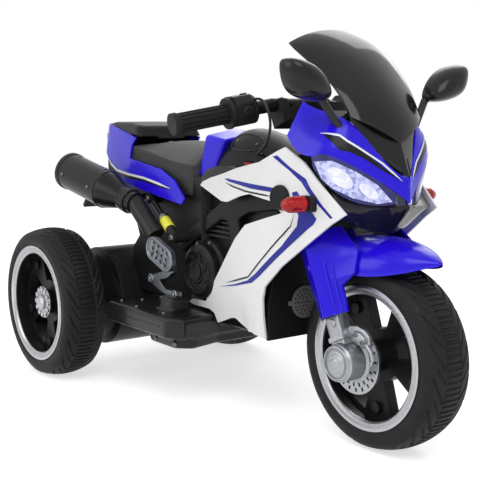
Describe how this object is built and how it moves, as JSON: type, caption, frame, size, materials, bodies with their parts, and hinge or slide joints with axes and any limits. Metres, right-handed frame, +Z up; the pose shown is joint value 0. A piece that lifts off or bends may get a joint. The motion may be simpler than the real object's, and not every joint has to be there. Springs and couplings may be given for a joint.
{
  "type": "kids electric motorbike",
  "caption": "Battery ride-on trike styled as a racing motorbike, with fairings, windscreen, swivelling mirrors, steered front fork, spoked wheels, a geared motor and a twist grip.",
  "frame": {"origin": "on the ground, midway between the axles, on the machine's middle plane", "axes": "+X forward, +Y to the rider's left, +Z up"},
  "size_m": [0.9898, 0.5102, 0.6419],
  "materials": {
    "blue_gloss": "gloss",
    "white_gloss": "gloss",
    "black_satin": "satin",
    "black_gloss": "gloss",
    "dark_grey": "matte",
    "seat_grey": "matte",
    "tyre_black": "matte",
    "grip_rubber": "matte",
    "silver_trim": "polished",
    "fork_silver": "satin",
    "steel": "satin",
    "screen_smoke": "gloss",
    "lens_clear": "gloss",
    "lens_red": "gloss",
    "reflector_chrome": "polished",
    "gear_white": "matte",
    "battery_case": "matte",
    "board_green": "matte"
  },
  "bodies": {
    "chassis": {"tank_pad": "blue_gloss", "nose_fairing": "blue_gloss", "tail_cover": "blue_gloss", "side_fairing_right": "white_gloss", "side_fairing_left": "white_gloss", "floor_pan": "black_satin", "rear_tub": "black_satin", "axle_housing": "black_satin", "axle_end_cases": "black_satin", "engine_block": "black_satin", "tank_cover": "black_satin", "inner_cowl": "black_satin", "speaker_grille": "black_satin", "backrest": "black_satin", "rear_mudguard": "black_satin", "head_frame": "black_satin", "exhaust": "black_satin", "shock_struts": "black_satin", "frame_rails": "black_satin", "signal_stalks": "black_satin", "clutch_covers": "black_satin", "chin_panel": "black_gloss", "nose_panel": "black_gloss", "mirror_arms": "black_gloss", "charge_socket": "dark_grey", "throttle_cable": "dark_grey", "seat_cushion": "seat_grey", "foot_peg_sets": "fork_silver", "rear_axle": "steel", "motor": "steel", "windscreen": "screen_smoke", "headlight_lenses": "lens_clear", "lamp_lenses": "lens_red", "headlight_reflectors": "reflector_chrome", "battery": "battery_case", "control_board": "board_green"},
    "steering": {"steering_stem": "black_satin", "handlebar": "steel", "fork_legs": "fork_silver", "brake_discs": "steel", "fork_covers": "blue_gloss", "front_fender": "blue_gloss", "front_axle": "steel", "switch_housings": "black_satin", "left_grip": "grip_rubber"},
    "front_wheel": {"front_tyre": "tyre_black", "front_rim": "black_satin", "front_trim": "silver_trim"},
    "right_wheel": {"right_tyre": "tyre_black", "right_rim": "black_satin", "right_trim": "silver_trim", "drive_gear": "gear_white"},
    "left_wheel": {"left_tyre": "tyre_black", "left_rim": "black_satin", "left_trim": "silver_trim"},
    "motor_shaft": {"motor_pinion": "steel"},
    "throttle": {"throttle_grip": "grip_rubber"},
    "mirror_head_right": {"mirror_right": "black_gloss"},
    "mirror_head_left": {"mirror_left": "black_gloss"},
    "switch_rocker": {"power_switch": "lens_red"}
  },
  "joints": [
    {"name": "steering", "type": "hinge", "parent": "chassis", "child": "steering", "pos_m": [0.35, 0, 0.145], "axis": [-0.4067, 0, 0.9135], "range_deg": [-30, 30], "deforming": ["throttle_cable"]},
    {"name": "front_wheel_spin", "type": "hinge", "parent": "steering", "child": "front_wheel", "pos_m": [0.35, 0, 0.145], "axis": [0, 1, 0], "continuous": true},
    {"name": "right_wheel_spin", "type": "hinge", "parent": "chassis", "child": "right_wheel", "pos_m": [-0.35, -0.212, 0.145], "axis": [0, 1, 0], "continuous": true},
    {"name": "left_wheel_spin", "type": "hinge", "parent": "chassis", "child": "left_wheel", "pos_m": [-0.35, 0.212, 0.145], "axis": [0, 1, 0], "continuous": true},
    {"name": "motor_spin", "type": "hinge", "parent": "chassis", "child": "motor_shaft", "pos_m": [-0.30251, -0.12, 0.18485], "axis": [0, 1, 0], "continuous": true},
    {"name": "throttle", "type": "hinge", "parent": "steering", "child": "throttle", "pos_m": [0.116, -0.228, 0.496], "axis": [-0.1657, -0.9712, -0.1714], "range_deg": [0, 50], "stiffness_Nm_per_rad": 0.05},
    {"name": "mirror_right_swivel", "type": "hinge", "parent": "chassis", "child": "mirror_head_right", "pos_m": [0.322, -0.11, 0.536], "axis": [0, 0, 1], "range_deg": [-15, 15]},
    {"name": "mirror_left_swivel", "type": "hinge", "parent": "chassis", "child": "mirror_head_left", "pos_m": [0.322, 0.11, 0.536], "axis": [0, 0, 1], "range_deg": [-15, 15]},
    {"name": "power_switch_rock", "type": "hinge", "parent": "chassis", "child": "switch_rocker", "pos_m": [0.086, -0.05606, 0.426], "axis": [1, 0, 0], "range_deg": [-8, 8]}
  ],
  "couplings": [
    {"joint": "motor_spin", "follows": "right_wheel_spin", "ratio": -5.2}
  ]
}
